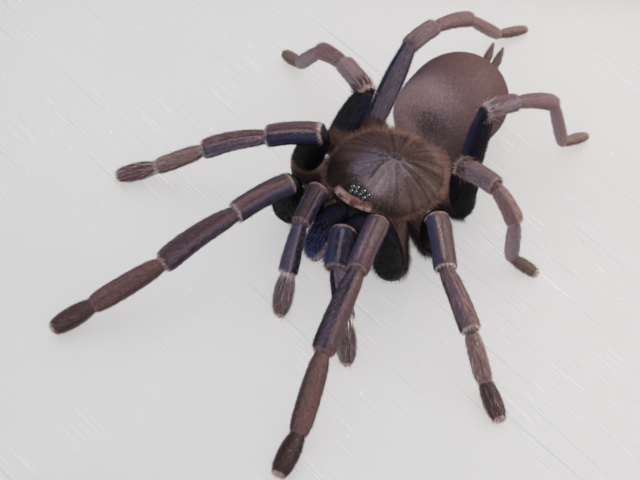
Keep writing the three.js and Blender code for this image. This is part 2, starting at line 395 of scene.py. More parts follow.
# Outline of each kind: [shares of the length, shares of the radius] along it, and the radius there
outlines = {
    "coxa": [(0, -0.1, 0), (0, 0, 0.62), (0.45, 0, 0.82), (0.85, 0, 1), (1, 0.4, 0.8), (1, 0.75, 0)],
    "femur": [(0, -0.45, 0), (0, -0.3, 0.55), (0.04, 0, 0.82), (0.2, 0, 0.96), (0.45, 0, 1), (0.7, 0, 0.93),
              (0.88, 0, 0.76), (0.97, 0, 0.66), (1, 0.12, 0.52), (1, 0.26, 0.26), (1, 0.3, 0)],
    "patella": [(0, -0.64, 0), (0, -0.6, 0.38), (0, -0.42, 0.74), (0, -0.1, 0.95), (0.08, 0, 1.02),
                (0.3, 0, 1.03), (0.6, 0, 1), (0.88, 0, 1), (0.965, 0, 0.95), (1, 0, 0.82), (1, 0.04, 0.55),
                (1, 0, 0)],
    "tibia": [(0, -0.3, 0), (0, -0.25, 0.4), (0, 0, 0.62), (0.07, 0, 0.76), (0.2, 0, 0.9), (0.45, 0, 1),
              (0.8, 0, 1.09), (0.93, 0, 1.06), (0.985, 0, 0.93), (1, 0.03, 0.7), (1, 0.06, 0.36),
              (1, 0.07, 0)],
    "metatarsus": [(0, -0.3, 0), (0, -0.25, 0.4), (0, 0, 0.56), (0.06, 0, 0.7), (0.17, 0, 0.88), (0.4, 0, 1),
                   (0.75, 0, 1.02), (0.91, 0, 0.93), (0.975, 0, 0.8), (1, 0.03, 0.6), (1, 0.06, 0.34),
                   (1, 0.07, 0)],
    "tarsus": [(0, -0.25, 0), (0, -0.2, 0.4), (0, 0, 0.6), (0.08, 0, 0.76), (0.3, 0, 0.97), (0.55, 0, 1.02),
               (0.76, 0, 0.94), (0.9, 0, 0.77), (0.965, 0, 0.6), (1, 0, 0.36), (1, 0.04, 0.18), (1, 0.05, 0)],
}
outlines["bullet"] = [*outlines["tarsus"][:5], (0.55, 0, 1), (0.76, 0, 0.88), (0.9, 0, 0.64), (0.97, 0, 0.4),
                      (1, 0, 0.2), (1, 0.02, 0)]
limbShape = {"sides": 28, "steps": 6, "skinShare": 0.97, "arch": 0.05, "hipFull": 1.4, "jointBall": 0.72}


class Segment:  # one posed piece of a limb, with its surface as a formula
    def __init__(self, kind, outline, start, end, radius, top, roll):
        self.kind = kind
        self.roll = math.radians(roll)  # turn of its markings about its axis
        self.start = start
        self.length = np.linalg.norm(end - start)
        self.axis = (end - start) / self.length
        self.top = unit(top - self.axis * (top @ self.axis))
        self.side = np.cross(self.axis, self.top)
        self.radius = radius * limbShape["skinShare"]
        shape = smoothLine(outlines[outline], limbShape["steps"])
        self.run = shape[:, 0] * self.length + shape[:, 1] * self.radius
        self.reach = np.maximum(shape[:, 2], 0) * self.radius
        self.slope = np.gradient(self.reach) / np.maximum(np.abs(np.gradient(self.run)), 1e-3)
        self.arch = limbShape["arch"] * self.length if kind in ("patella", "tibia") else 0.0

    def bow(self, run):
        return self.arch * np.sin(np.pi * np.clip(run / self.length, 0, 1))

    def at(self, run, reach, angle):
        out = np.cos(angle)[..., None] * self.top + np.sin(angle)[..., None] * self.side
        middle = self.start + run[..., None] * self.axis + self.bow(run)[..., None] * self.top
        return middle + reach[..., None] * out, out

    def fields(self, run, angle):
        angle = angle - self.roll
        return {
            "share": run / self.length,
            "run": run,
            "toEnd": self.length - run,
            "tilt": np.degrees(np.abs((angle + np.pi) % (2 * np.pi) - np.pi)),
            "dorsal": np.cos(angle),
            "flank": np.sin(angle),
        }

    def shell(self):  # points, faces and fields of the surface
        run, reach = self.run[1:-1], self.reach[1:-1]
        angle = np.linspace(0, 2 * np.pi, limbShape["sides"], endpoint=False)
        runs, angles = np.meshgrid(run, angle, indexing="ij")
        points, _ = self.at(runs, np.broadcast_to(reach[:, None], runs.shape), angles)
        ends = self.start + self.run[[0, -1], None] * self.axis
        fields = {key: np.concatenate([values.ravel(), values[[0, -1], 0]])
                  for key, values in self.fields(runs, angles).items()}
        return np.concatenate([points.reshape(-1, 3), ends]), ringFaces(len(run), limbShape["sides"]), fields

    def roots(self, draw, count, low, high):  # random places on the surface between two shares
        share = np.clip(self.run / self.length, -1, 2)
        weight = np.where((share >= low) & (share <= high), self.reach + 1e-4, 0)
        weight = weight * np.abs(np.gradient(self.run))
        chosen = draw.choice(len(weight), count, p=weight / weight.sum())
        other = np.clip(chosen + 1, 0, len(weight) - 1)
        blend = draw.random(count)
        run = self.run[chosen] * (1 - blend) + self.run[other] * blend
        reach = self.reach[chosen] * (1 - blend) + self.reach[other] * blend
        angle = draw.uniform(-np.pi, np.pi, count)
        points, out = self.at(run, reach, angle)
        normal = unit(out - self.slope[chosen][:, None] * self.axis)
        return points, normal, self.fields(run, angle)

    def area(self):
        return 2 * np.pi * self.radius * self.length


def jointsOf(pose, side):
    limb = limbs[pose["limb"]]
    mirror = np.array([side, 1, 1])
    joints = [np.array(coxae[pose["limb"]][end]) * mirror for end in ("inner", "hip")]
    for i, length in enumerate(limb["lengths"]):
        last = joints[-1]
        if i < len(pose["rise"]):
            rise = math.radians(pose["rise"][i])
        else:  # the foot comes down to the board
            pad = limb["radii"][i + 1]
            rise = math.asin((pad + footClearance - last[2]) / (length - pad))
        heading = math.radians(pose["heading"][i])
        level = length * math.cos(rise)
        step = (level * math.cos(heading), level * math.sin(heading), length * math.sin(rise))
        joints.append(last + np.array(step))
    return joints


def segmentsOf(name):
    pose = poses[name]
    side = 1 if name.endswith("left") else -1
    joints = jointsOf(pose, side)
    kinds = palpKinds if pose["limb"] == "palp" else legKinds
    radii = list(limbs[pose["limb"]]["radii"])
    radii[0] *= pose.get("fullHip", limbShape["hipFull"] if pose["limb"] != "palp" else 1.0)
    radii[2] *= pose.get("fullKnee", 1.0)
    rolls = (0, *pose.get("roll", (0, 0, 0, 0, 0)))
    up = np.array([0, 0, 1.0])
    made = []
    for i, kind in enumerate(kinds):
        start, end = joints[i], joints[i + 1]
        axis = unit(end - start)
        if kind == "femur":  # its top is the outer side of the knee
            top = axis - unit(joints[i + 2] - end)
        elif kind in ("coxa", "patella"):
            top = up
        else:  # the last top, carried round the joint
            top = made[-1].top + made[-1].axis * 1e-6
        outline = "bullet" if pose["limb"] == "palp" and kind == "tarsus" else kind
        made.append(Segment(kind, outline, start, end, radii[i], top, rolls[i]))
    return made


# Coats of the limbs: shades from dark to light on the top, the stripes, the sides and the belly
# cap: a painted shade at a segment's end, inside the joint
frontCoat = {
    # coxae: partly their own dark brown, partly painted shade under the shield's edge
    "coxa": dict(top="soot cedar cedar bark", side="soot soot cedar", belly="soot"),
    "femur": dict(top="ink ink velvet", side="ink", belly="ink"),
    "patella": dict(top="plum cocoa cocoa mauve", line="plum", stripe="violet violet mauve", stripeReach=14,
                    side="velvet slate slate", belly="ink velvet", cuff="rose", fringe="cocoa mauve rose",
                    cap="velvet", knee="rose"),
    # the tibia's wide soft grey stripe is partly its own marking, partly a painted highlight along its middle
    "tibia": dict(top="plum cocoa cocoa", stripe="violet ash ash", stripeReach=16, side="velvet plum violet",
                  belly="velvet plum", cuff="rose", fringe="cocoa mauve rose", cap="umber"),
    "metatarsus": dict(top="cocoa russet russet", side="umber cocoa russet", belly="cocoa", cuff="fawn",
                       fringe="cocoa mauve", cap="umber"),
    "tarsus": dict(top="cedar umber umber", side="cedar umber cocoa", belly="cocoa", cuff="blush"),
}
thirdCoat = {
    "coxa": frontCoat["coxa"],
    "femur": dict(top="ink velvet navy", side="ink velvet", belly="ink"),
    "patella": dict(top="mauve mauve lilac", stripe="mauve lilac", side="mauve lilac lilac",
                    belly="mauve ash", cuff="rose", fringe="mauve rose", cap="umber", knee="blush",
                    kneeAt=-0.3, root="cedar umber umber mauve", ruff="gold rose blush blush",
                    brush="blush rose fawn umber cedar soot"),
    "tibia": dict(top="cocoa mauve fawn", stripe="mauve fawn", side="mauve fawn fawn", belly="fawn",
                  cuff="blush", fringe="rose blush mauve", cap="umber"),
    "metatarsus": dict(top="mauve lilac lilac", side="lilac lilac rose", belly="lilac", cuff="rose",
                       fringe="mauve rose", cap="umber"),
    "tarsus": dict(top="olive olive fawn", side="olive olive fawn", belly="olive", cuff="rose"),
}


def coatFrom(coat, **changes):  # changed shades, without those changed to None
    changed = {kind: {**coat[kind], **changes.get(kind, {})} for kind in coat}
    return {kind: {key: tone for key, tone in part.items() if tone} for kind, part in changed.items()}


coats = {
    "palp": coatFrom(
        frontCoat,
        patella=dict(top="umber plum plum", stripe="plum mauve lilac", line="soot", stripeReach=5,
                     side="velvet navy violet"),
        tibia=dict(top="slate violet violet", stripe="violet lilac", stripeReach=8,
                   side="velvet velvet slate", cuff="ivory", fringe="ivory blush",
                   whiskers="blush ivory ivory"),
        tarsus=dict(top="umber ash mauve", side="olive lilac", streaks="blush lilac umber soot")),
    1: frontCoat,
    2: coatFrom(
        frontCoat,
        patella=dict(stripe="lilac rose blush", stripeReach=7, cuff="ivory", side="velvet navy slate",
                     fringe="ivory ivory blush", knee="blush"),
        tibia=dict(top="cocoa mauve fawn", line="umber", stripe="lilac rose blush", stripeReach=7,
                   side="violet mauve mauve", cuff="ivory", fringe="ivory ivory blush",
                   streaks="blush rose fawn umber umber"),
        metatarsus=dict(top="mauve fawn rose", side="mauve fawn fawn", cuff="blush",
                        fringe="blush rose mauve", whiskers="blush ivory ivory",
                        streaks="ivory blush rose umber umber"),
        tarsus=dict(top="umber mauve fawn", side="cedar cocoa fawn", streaks="ivory blush umber cedar")),
    3: thirdCoat,
    4: coatFrom(
        thirdCoat,
        femur=dict(top="violet violet lilac", side="velvet navy navy", belly="ink velvet"),
        patella=dict(top="cocoa mauve lilac", root="slate violet lilac rose"),
        tibia=dict(top="mauve mauve fawn", cuff="fawn", fringe="mauve fawn"),
        metatarsus=dict(top="mauve mauve fawn", side="fawn fawn rose", cuff="fawn", fringe="mauve fawn"),
        tarsus=dict(top="olive fawn fawn", side="olive fawn")),
}
limbTones = {  # what one limb changes of its pair's coat
    "palp_left": dict(patella=dict(top="navy slate royal", stripe="violet violet lilac", stripeReach=10,
                                   side="ink velvet navy")),
    "leg_1_right": dict(patella=dict(top="plum cocoa mauve", cuff="ivory", fringe="ivory blush rose"),
                        tibia=dict(cuff="ivory", fringe="ivory blush rose"),
                        tarsus=dict(top="umber umber cocoa", side="umber umber cocoa")),
    "leg_2_right": dict(femur=dict(root="cedar umber gold"), coxa=dict(top="cedar umber bark gold"),
                        patella=dict(top="cocoa cocoa mauve mauve"),
                        tibia=dict(top="cocoa cocoa mauve", side="slate slate violet lilac")),
    "leg_3_right": dict(patella=dict(top="mauve lilac rose", side="lilac lilac rose")),
    "leg_4_right": dict(patella=dict(knee=None, brush=None, ruff=None, root=None)),  # nearly straight
    "leg_1_left": dict(femur=dict(top="velvet umber umber", side="ink velvet velvet"),
                       patella=dict(stripe="violet lilac rose", stripeReach=10, side="plum violet violet"),
                       tibia=dict(top="cocoa cocoa mauve", stripe="violet mauve mauve")),
    "leg_2_left": dict(patella=dict(top="cocoa cocoa mauve", side="slate slate violet", stripeReach=11),
                       tibia=dict(stripe="mauve fawn rose"),
                       tarsus=dict(top="umber cocoa cocoa", side="umber cocoa cocoa",
                                   streaks="blush umber cedar cedar")),
    "leg_3_left": dict(tibia=dict(top="mauve fawn rose")),
    "leg_4_left": dict(femur=dict(top="navy navy slate", side="ink velvet navy")),
}
# Degrees round from the top. The skin's marks are wider and darker than the hair's
marks = {"stripe": 43, "stripeReach": 8, "line": 28, "lineReach": 6, "side": 52, "belly": 118,
         "skinSpread": 1.4, "skinDim": 0.85, "kneeAt": -0.45}  # kneeAt in millimetres from the joint


def limbFinish(name, coat):
    def tone(part, end=0, dim=1.0):
        return paint(*(dim * value for value in shades[coat[part].split()[end]]))

    def streaked(part):
        return skin.mix(level, tone(part, 0, marks["skinDim"]), tone(part, -1, marks["skinDim"]))

    skin = Finish(name)
    fieldNames = ("tilt", "share", "run", "toEnd", "dorsal", "flank")
    tilt, share, run, toEnd, dorsal, flank = (skin.field(key) for key in fieldNames)
    grain = skin.noise(skin.triple(dorsal * 7, flank * 7, run * 0.35), 1.0, 4.0, 0.6)  # streaks along it
    mottle = skin.noise(skin.triple(dorsal, flank, run * 0.5), 1.6, 2.0)
    level = grain.rise(0.34, 0.66)
    colour = skin.mix(tilt.rise(marks["side"] - 7, marks["side"] + 7), streaked("top"), streaked("side"))
    colour = skin.mix(tilt.rise(marks["belly"] - 20, marks["belly"] + 20), colour, streaked("belly"))
    if "line" in coat:
        line = tilt.hump(marks["line"], marks["lineReach"] * marks["skinSpread"])
        colour = skin.mix(line * share.rise(0.04, 0.1) * share.fall(0.8, 0.9), colour, tone("line"))
    if "stripe" in coat:
        reach = coat.get("stripeReach", marks["stripeReach"])
        stripe = tilt.hump(marks["stripe"], reach * marks["skinSpread"])
        stripe = stripe * share.rise(0.02, 0.1) * share.fall(0.84, 0.96)
        colour = skin.mix(stripe * grain.rise(0.25, 0.55), colour, tone("stripe", -1, marks["skinDim"]))
    if "cuff" in coat:
        cuff = (toEnd + mottle * 0.5 - 0.25).fall(0.15, 0.4)
        colour = skin.mix(cuff * 0.8, colour, tone("cuff"))
    if "cap" in coat:  # painted shade: the end itself is painted dark, as it lies in the dark of the joint
        colour = skin.mix(toEnd.fall(-0.03, 0.06), colour, tone("cap"))
    if "root" in coat:
        colour = skin.mix(share.fall(0.2, 0.3), colour, streaked("root"))
    if "knee" in coat:
        colour = skin.mix(run.fall(-0.8, -0.55), colour, paint(*shades["velvet"]))
        rim = run.hump(coat.get("kneeAt", marks["kneeAt"]), 0.22) * mottle.rise(0.25, 0.5)
        colour = skin.mix(rim, colour, tone("knee"))
    normal = skin.bump(grain + mottle * 0.4, 0.2, 0.5)
    return skin.surface(BaseColor=colour, Roughness=0.45 + grain * 0.25, Normal=normal, SpecularIORLevel=0.3)


skinsMade = {}


def limbSkin(name, kind, coat):  # limbs with the same coat share a finish
    key = str(sorted(coat.items()))
    if key not in skinsMade:
        skinsMade[key] = limbFinish(name + "_" + kind, coat)
    return skinsMade[key]


def membraneFinish():
    skin = Finish("joint_membrane")
    colour = skin.mix(skin.noise(skin.place(), 2500.0, 3.0), paint(58, 44, 44), paint(112, 88, 86))
    return skin.surface(BaseColor=colour, Roughness=0.5)


membrane = membraneFinish()


def ball(centre, radius, sides=16, rings=9):
    turn = np.linspace(0, np.pi, rings + 2)[1:-1]
    angle = np.linspace(0, 2 * np.pi, sides, endpoint=False)
    turns, angles = np.meshgrid(turn, angle, indexing="ij")
    shape = np.stack([np.sin(turns) * np.cos(angles), np.sin(turns) * np.sin(angles), -np.cos(turns)], -1)
    poles = np.array([[0, 0, -1.0], [0, 0, 1.0]])
    return centre + radius * np.concatenate([shape.reshape(-1, 3), poles]), ringFaces(rings, sides)


def makeSkin(name, segments, coat):
    shells = [segment.shell() for segment in segments]
    balls = [ball(after.start, limbShape["jointBall"] * after.radius) for after in segments[3:]]
    points, faces, looks = joined([shell[:2] for shell in shells] + balls)
    plain = np.zeros(sum(len(shell) for shell, _ in balls))
    fields = {key: np.concatenate([shell[2][key] for shell in shells] + [plain]) for key in shells[0][2]}
    finishes = [limbSkin(name, segment.kind, coat[segment.kind]) for segment in segments] + [membrane]
    looks = np.minimum(looks, len(segments))
    makePiece(name + "_skin", points, faces, finishes, looks, fields, replaced=(name,))


# Limb hair: density on a square millimetre or count, shares of the length that it covers, lift in degrees
shortHair = {
    "coxa": dict(density=45, lift=(15, 45), length=(0.8, 1.7)),
    "femur": dict(density=40, lift=(25, 60), length=(0.3, 0.55)),
    "patella": dict(density=80, lift=(5, 18), length=(0.5, 0.9)),
    "tibia": dict(density=80, lift=(5, 20), length=(0.5, 0.9)),
    "metatarsus": dict(density=80, lift=(6, 24), length=(0.5, 0.9)),
    "tarsus": dict(density=80, lift=(14, 42), length=(0.4, 0.7)),
}
limbHair = {  # over all of it, then pale down, then rows at the joints and streaks, then the tuft of the foot
    "short": dict(spread=(-0.2, 1), stray=0.14, width=0.048),
    "long": dict(density=0.5, spread=(0.05, 0.98), lift=(15, 42), stray=0.15, length=(0.8, 1.4), width=0.045,
                 droop=0.05),
    # pale down: partly the limb's own pale hairs, partly a painted glow of backlit hair along its edges
    "down": dict(density=3.0, spread=(0.05, 1), lift=(30, 65), stray=0.2, length=(0.35, 0.6), width=0.035),
    "fringe": dict(count=170, spread=(0.95, 1), lift=(-4, 18), stray=0.2, length=(0.25, 0.55), width=0.045,
                   droop=0.02),
    "whiskers": dict(count=110, spread=(0.9, 1), lift=(-2, 12), stray=0.1, length=(1.2, 3.2), width=0.08,
                     droop=0.02),
    "brush": dict(count=240, spread=(-0.08, 0.2), lift=(3, 24), stray=0.12, length=(1, 2.4), width=0.07,
                  droop=0.02),
    "ruff": dict(count=200, spread=(-0.1, 0.03), lift=(50, 120), stray=0.2, length=(0.4, 1), width=0.05,
                 droop=0.02),
    "streaks": dict(count=240, spread=(0, 0.9), lift=(2, 14), stray=0.07, length=(0.8, 2), width=0.06,
                    droop=0.02),
    "tuft": dict(count=340, spread=(0.93, 1), lift=(10, 60), stray=0.2, length=(0.25, 0.5), width=0.08),
}


def streakLevel(draw, angle, run):  # 0 to 1, in soft streaks along a segment
    total = np.zeros_like(run)
    for turns in (2, 3, 5, 8):
        phase, drift = draw.uniform(0, 2 * np.pi), draw.normal(0, 0.25)
        total += np.sin(turns * angle + drift * run + phase)
    return np.clip(0.5 + total / 9 + draw.normal(0, 0.16, len(run)), 0, 0.999)


def coatShades(draw, coat, fields):
    share, run, toEnd = fields["share"], fields["run"], fields["toEnd"]
    level = streakLevel(draw, np.arctan2(fields["flank"], fields["dorsal"]), run)
    count = len(level)
    tilt = fields["tilt"] + draw.normal(0, 4, count)
    looks = np.where(tilt < marks["side"], pick(coat["top"], level), pick(coat["side"], level))
    looks = np.where(tilt > marks["belly"], pick(coat["belly"], level), looks)
    if "line" in coat:  # a dark line beside each stripe
        lined = bell(tilt - marks["line"], marks["lineReach"]) > draw.uniform(0.25, 1.1, count)
        looks = np.where(lined & (share > 0.05) & (share < 0.86), shade(coat["line"]), looks)
    if "stripe" in coat:
        reach = coat.get("stripeReach", marks["stripeReach"])
        striped = bell(tilt - marks["stripe"], reach) > draw.uniform(0.2, 1.1, count)
        looks = np.where(striped & (share > 0.03) & (share < 0.9), pick(coat["stripe"], level), looks)
    if "cuff" in coat:
        cuffed = toEnd + draw.normal(0, 0.14, count) < 0.28
        looks = np.where(cuffed, draw.choice(shade(coat["cuff"] + " rose mauve"), count), looks)
    # painted shade: hairs at the end are dark, as on the skin
    if "cap" in coat:
        looks = np.where(toEnd < 0.03, shade(coat["cap"]), looks)
    if "root" in coat:
        rooted = share + draw.normal(0, 0.04, count) < 0.26
        looks = np.where(rooted, pick(coat["root"], level), looks)
    if "knee" in coat:
        looks = np.where(run < -0.62, shade("velvet"), looks)
        rim = np.abs(run - coat.get("kneeAt", marks["kneeAt"]) + draw.normal(0, 0.05, count)) < 0.2
        looks = np.where(rim, shade(coat["knee"]), looks)
    return looks


def grow(coat, segment, form, tones, words=None):  # hairs that point along a segment
    draw = coat.draw
    count = form.get("count") or int(form["density"] * segment.area())
    roots, normal, fields = segment.roots(draw, count, *form["spread"])
    towards = np.broadcast_to(segment.axis, normal.shape)
    along = raisedFrom(draw, normal, towards, *form["lift"], form["stray"])
    if words:
        looks = draw.choice(shade(words), count)
    lengths = draw.uniform(*form["length"], count)
    if not words:
        looks = coatShades(draw, tones, fields)
    if "droop" in form:
        coat.long(roots, normal, along, lengths, form["width"], looks, form["droop"])
    else:
        coat.short(roots, normal, along, lengths, form["width"], looks)


def makeHair(name, segments, limbCoat, seed):
    coat = Coat(seed)
    for segment in segments:
        kind, tones = segment.kind, limbCoat[segment.kind]
        grow(coat, segment, {**limbHair["short"], **shortHair[kind]}, tones)
        grow(coat, segment, limbHair["long"], tones)
        if kind in ("tibia", "metatarsus", "tarsus"):
            # pale down, partly a painted glow of backlit hair
            grow(coat, segment, limbHair["down"], tones, "rose blush")
        for extra in ("fringe", "whiskers", "brush", "ruff", "streaks"):
            if extra in tones:
                grow(coat, segment, limbHair[extra], tones, tones[extra])
        if kind == "tarsus":
            grow(coat, segment, limbHair["tuft"], tones, tones["cuff"] + " blush ivory")
    coat.piece(name + "_hair", "leg")


for seed, name in enumerate(poses):
    segments = segmentsOf(name)
    coat = coatFrom(coats[poses[name]["limb"]], **limbTones.get(name, {}))
    makeSkin(name, segments, coat)
    makeHair(name, segments, coat, 100 + seed)
print("limbs made")

# Carapace: domed shield with a raised head, furrows from a pit behind its middle, and an eye mound
carapace = {
    "halfWidth": 9.8,
    "halfLength": 10.75,
    "rim": 7.2,
    "rise": 3.2,
    "headRise": 0.5,
    "headBoxiness": 0.55,
    "pit": (0.3, 2.3),
    "furrows": (36, 70, 103, 138),  # degrees from the front, on both sides
    "furrowDepth": 0.3,
    "headHalf": 33,
    "headLift": 0.35,
    "lip": {"half": 24, "blend": 16, "rise": 2.5, "share": 0.89},  # the bare front edge over the jaws
    "mound": {"x": 0.4, "y": -8.4, "size": (1.9, 1.3), "lift": 0.75},
    "under": ((0.985, -0.3, 1), (0.94, -0.5, 1), (0.9, -0.5, 0.7), (0.88, -1.4, 0), (0.84, -3.2, 0),
              (0.5, -4.6, 0)),  # share of the outline, drop, share of the lip's rise
    "bottom": -4.8,
    "rings": 70,
    "sectors": 160,
}


def carapaceForm(share, angle):  # points on the shield with masks for its parts and tones
    lip, mound = carapace["lip"], carapace["mound"]
    forward = np.maximum(0, np.cos(angle)) ** 2 * np.minimum(1, share / 0.55)
    height = np.sqrt(np.maximum(0, 1 - share**2.6)) ** (1 - carapace["headBoxiness"] * forward)
    height = height * (carapace["rise"] + carapace["headRise"] * forward)
    turn = np.degrees(np.abs((angle + np.pi) % (2 * np.pi) - np.pi))
    raised = lip["rise"] * ramp(lip["half"] + lip["blend"] - turn, lip["blend"])
    height = raised + height * (1 - raised / (carapace["rise"] + carapace["headRise"]))
    x, y = share * np.sin(angle) * carapace["halfWidth"], -share * np.cos(angle) * carapace["halfLength"]
    east, south = x - carapace["pit"][0], carapace["pit"][1] - y
    bearing, away = np.degrees(np.arctan2(east, south)), np.hypot(east, south)

    def line(centre, width):  # a narrow line out from the pit
        return bell(np.radians(np.abs(bearing) - centre) * away, width) * ramp(away - 0.5, 1.2)

    furrow = np.maximum.reduce([line(centre, 0.45) for centre in carapace["furrows"]])
    headLine = bell(x + 0.6 + 0.1 * y, 0.3) * ramp(south - 1, 2) * ramp(8.5 - south, 2)
    pit = np.exp(-((east / 1.1) ** 2 + (south / 0.45) ** 2))
    head = ramp(away, 2) / (1 + np.exp((np.abs(bearing) - carapace["headHalf"]) / 2.5))
    moundX, moundY = (x - mound["x"]) / mound["size"][0], (y - mound["y"]) / mound["size"][1]
    eyes = np.exp(-(moundX**2 + moundY**2) * 1.4)
    inside = ramp(1 - share, 0.12)
    height = height - carapace["furrowDepth"] * (np.maximum(furrow, pit) + 0.4 * headLine) * inside
    height = height + (carapace["headLift"] * head + mound["lift"] * eyes) * inside
    ridge = line(carapace["headHalf"] + 4, 0.25) * ramp(away - 2.5, 2) * ramp(9.5 - away, 2)
    # painted sheen: a lilac-grey sheen is painted over the head and the top of the dome
    pale = ((x - 1.5) / 2.3) ** 2 + np.maximum(0, y - 2) ** 2 / 0.5 + np.maximum(0, -5.6 - y) ** 2 / 3
    # painted sheen: a bluish sheen is painted beside the head on the -x side
    blue = ((x + 2.5) / 1.9) ** 2 + np.maximum(0, np.abs(y + 2) - 1.8) ** 2 / 4
    rightward = np.maximum(0, x)
    rearBand = ramp(share - 0.7 - 0.008 * rightward, 0.1) * ramp(y - 4.8 - 0.12 * rightward, 2.4)
    fields = {
        "furrow": np.maximum(np.maximum(0.6 * furrow, pit), headLine),
        "mound": eyes,
        "strip": ramp(lip["half"] - turn, 4) * ramp(share - lip["share"], 0.02),
        "under": np.zeros_like(share),
        "ridge": np.where(bearing < 0, 0.8 * ridge, 0.3 * ridge),
        "edge": share,
        "pale": np.clip(1.4 * np.exp(-pale), 0, 1),
        "blue": np.clip(1.2 * np.exp(-blue), 0, 1),
        # painted shade: the front of the shield is painted darker, on the side away from the lamps
        "paintedShade": ramp(-y - 7.6 + 0.75 * np.abs(x - 2), 3.5),
        # partly the hair's own golden brown, partly painted light: lighter and more golden towards +x and the
        # rear, the lit side
        "golden": np.clip((x - 1) / 6 + np.maximum(0, y - 1) / 6, 0, 1),
        "border": rearBand * (0.7 + 0.3 * np.cos(np.radians(5 * bearing) + 1)),
        "beamX": np.sin(np.radians(bearing)),
        "beamY": np.cos(np.radians(bearing)),
        "away": away,
    }
    return np.stack([x, y, carapace["rim"] + height], -1), fields


carapaceTones = {  # strength of each mask, and the skin's dark and light there
    # partly painted light on the lit side
    "golden": (0.8, (58, 41, 34), (104, 76, 62)),
    # painted sheen beside the head
    "blue": (1, (66, 57, 72), (100, 90, 108)),
    # painted sheen on the head
    "pale": (1, (84, 72, 80), (130, 116, 122)),
    # painted shade over the front of the shield
    "paintedShade": (0.95, (20, 14, 15), (44, 31, 30)),
    "furrow": (0.7, (40, 29, 31), (40, 29, 31)),
    "ridge": (0.7, (122, 100, 86), (122, 100, 86)),
    "border": (1, (94, 67, 57), (134, 103, 93)),
}


def carapaceFinish():
    skin = Finish("carapace_chitin")
    beam = skin.triple(skin.field("beamX") * 16, skin.field("beamY") * 16, skin.field("away") * 0.35)
    streak = skin.noise(beam, 1.0, 4.0, 0.65)
    level = streak.rise(0.35, 0.66)
    strip, edge = skin.field("strip"), skin.field("edge")
    colour = skin.mix(level, paint(40, 28, 26), paint(76, 56, 50))
    # these masks lay painted shade, painted sheens and partly painted golden light onto the skin
    for key, (strength, dark, light) in carapaceTones.items():
        colour = skin.mix(skin.field(key) * strength, colour, skin.mix(level, paint(*dark), paint(*light)))
    colour = skin.mix(edge.rise(0.95, 0.99) * 0.7, colour, paint(136, 102, 88))
    colour = skin.mix(skin.field("mound").rise(0.4, 0.7), colour, paint(26, 20, 24))
    patchy = skin.noise(skin.place(), 900.0, 3.0).rise(0.35, 0.65)
    paintedGlint = edge.rise(0.975, 0.995) * patchy.rise(0.3, 0.9)  # painted glint: pale patches along the lip's lower edge, where it reflects the board
    lipped = skin.mix(patchy, paint(104, 66, 58), paint(176, 124, 108))
    # the painted glint is laid over the lip's colour
    colour = skin.mix(strip, colour, skin.mix(paintedGlint, lipped, paint(208, 178, 170)))
    # painted shade: the wall under the lip, over the jaws, is painted near-black
    colour = skin.mix(skin.field("under"), colour, skin.mix(level, paint(16, 12, 13), paint(34, 25, 24)))
    return skin.surface(BaseColor=colour, Roughness=0.6 - 0.42 * strip + streak * 0.12,
                        Normal=skin.bump(streak, 0.3, 0.5), SpecularIORLevel=0.4, CoatWeight=strip * 0.6)


def makeCarapace():
    turn = np.linspace(0, np.pi / 2, carapace["rings"] + 1)[1:]
    angle = np.linspace(0, 2 * np.pi, carapace["sectors"], endpoint=False)
    shares, angles = np.meshgrid(np.sin(turn), angle, indexing="ij")
    points, fields = carapaceForm(shares, angles)
    edge = points[-1, :, 2] - carapace["rim"]  # the lip lifts the edge, with a wall below it
    x, y = np.sin(angle) * carapace["halfWidth"], -np.cos(angle) * carapace["halfLength"]
    lower = [np.stack([share * x, share * y, carapace["rim"] + drop + lifted * edge], -1)
             for share, drop, lifted in carapace["under"]]
    crown, _ = carapaceForm(np.zeros(1), np.zeros(1))
    poles = np.concatenate([crown, [[0, 0, carapace["rim"] + carapace["bottom"]]]])
    allPoints = np.concatenate([points.reshape(-1, 3), *lower, poles])
    extra = np.zeros(len(allPoints) - shares.size)
    allFields = {key: np.concatenate([values.ravel(), extra]) for key, values in fields.items()}
    # the wall under the lip takes the painted shade
    allFields["under"][shares.size: -2] = 1
    faces = ringFaces(len(turn) + len(lower), carapace["sectors"])[:, ::-1]
    makePiece("carapace", allPoints, faces, [carapaceFinish()], fields=allFields,
              replaced=("cephalothorax",))


carapaceHair = {
    "count": 76000,
    "length": (0.3, 0.75),
    "width": 0.036,
    "specks": 0.04,
    "tones": {  # shades where a mask passes a chance between the two numbers
        # partly painted light: golden hairs on the lit side
        "golden": ("soot cedar umber bark gold", 0, 1),
        "border": ("bark russet russet fawn", 0, 1),
        # painted sheen: bluish hairs beside the head
        "blue": ("umber slate violet ash", 0, 1),
        # painted sheen: lilac-grey hairs over the head
        "pale": ("umber ash ash lilac lilac", 0, 1),
        # painted shade: dark hairs over the front of the shield
        "paintedShade": ("soot soot soot cedar", 0, 1),
        "furrow": ("soot cedar", 0.2, 0.9),
        "ridge": ("bark gold fawn", 0.3, 1.2),
    },
    "fringe": 5200,
    "fringeLength": (0.6, 1.3),
    "fringeWidth": 0.05,
    "seed": 31,
}


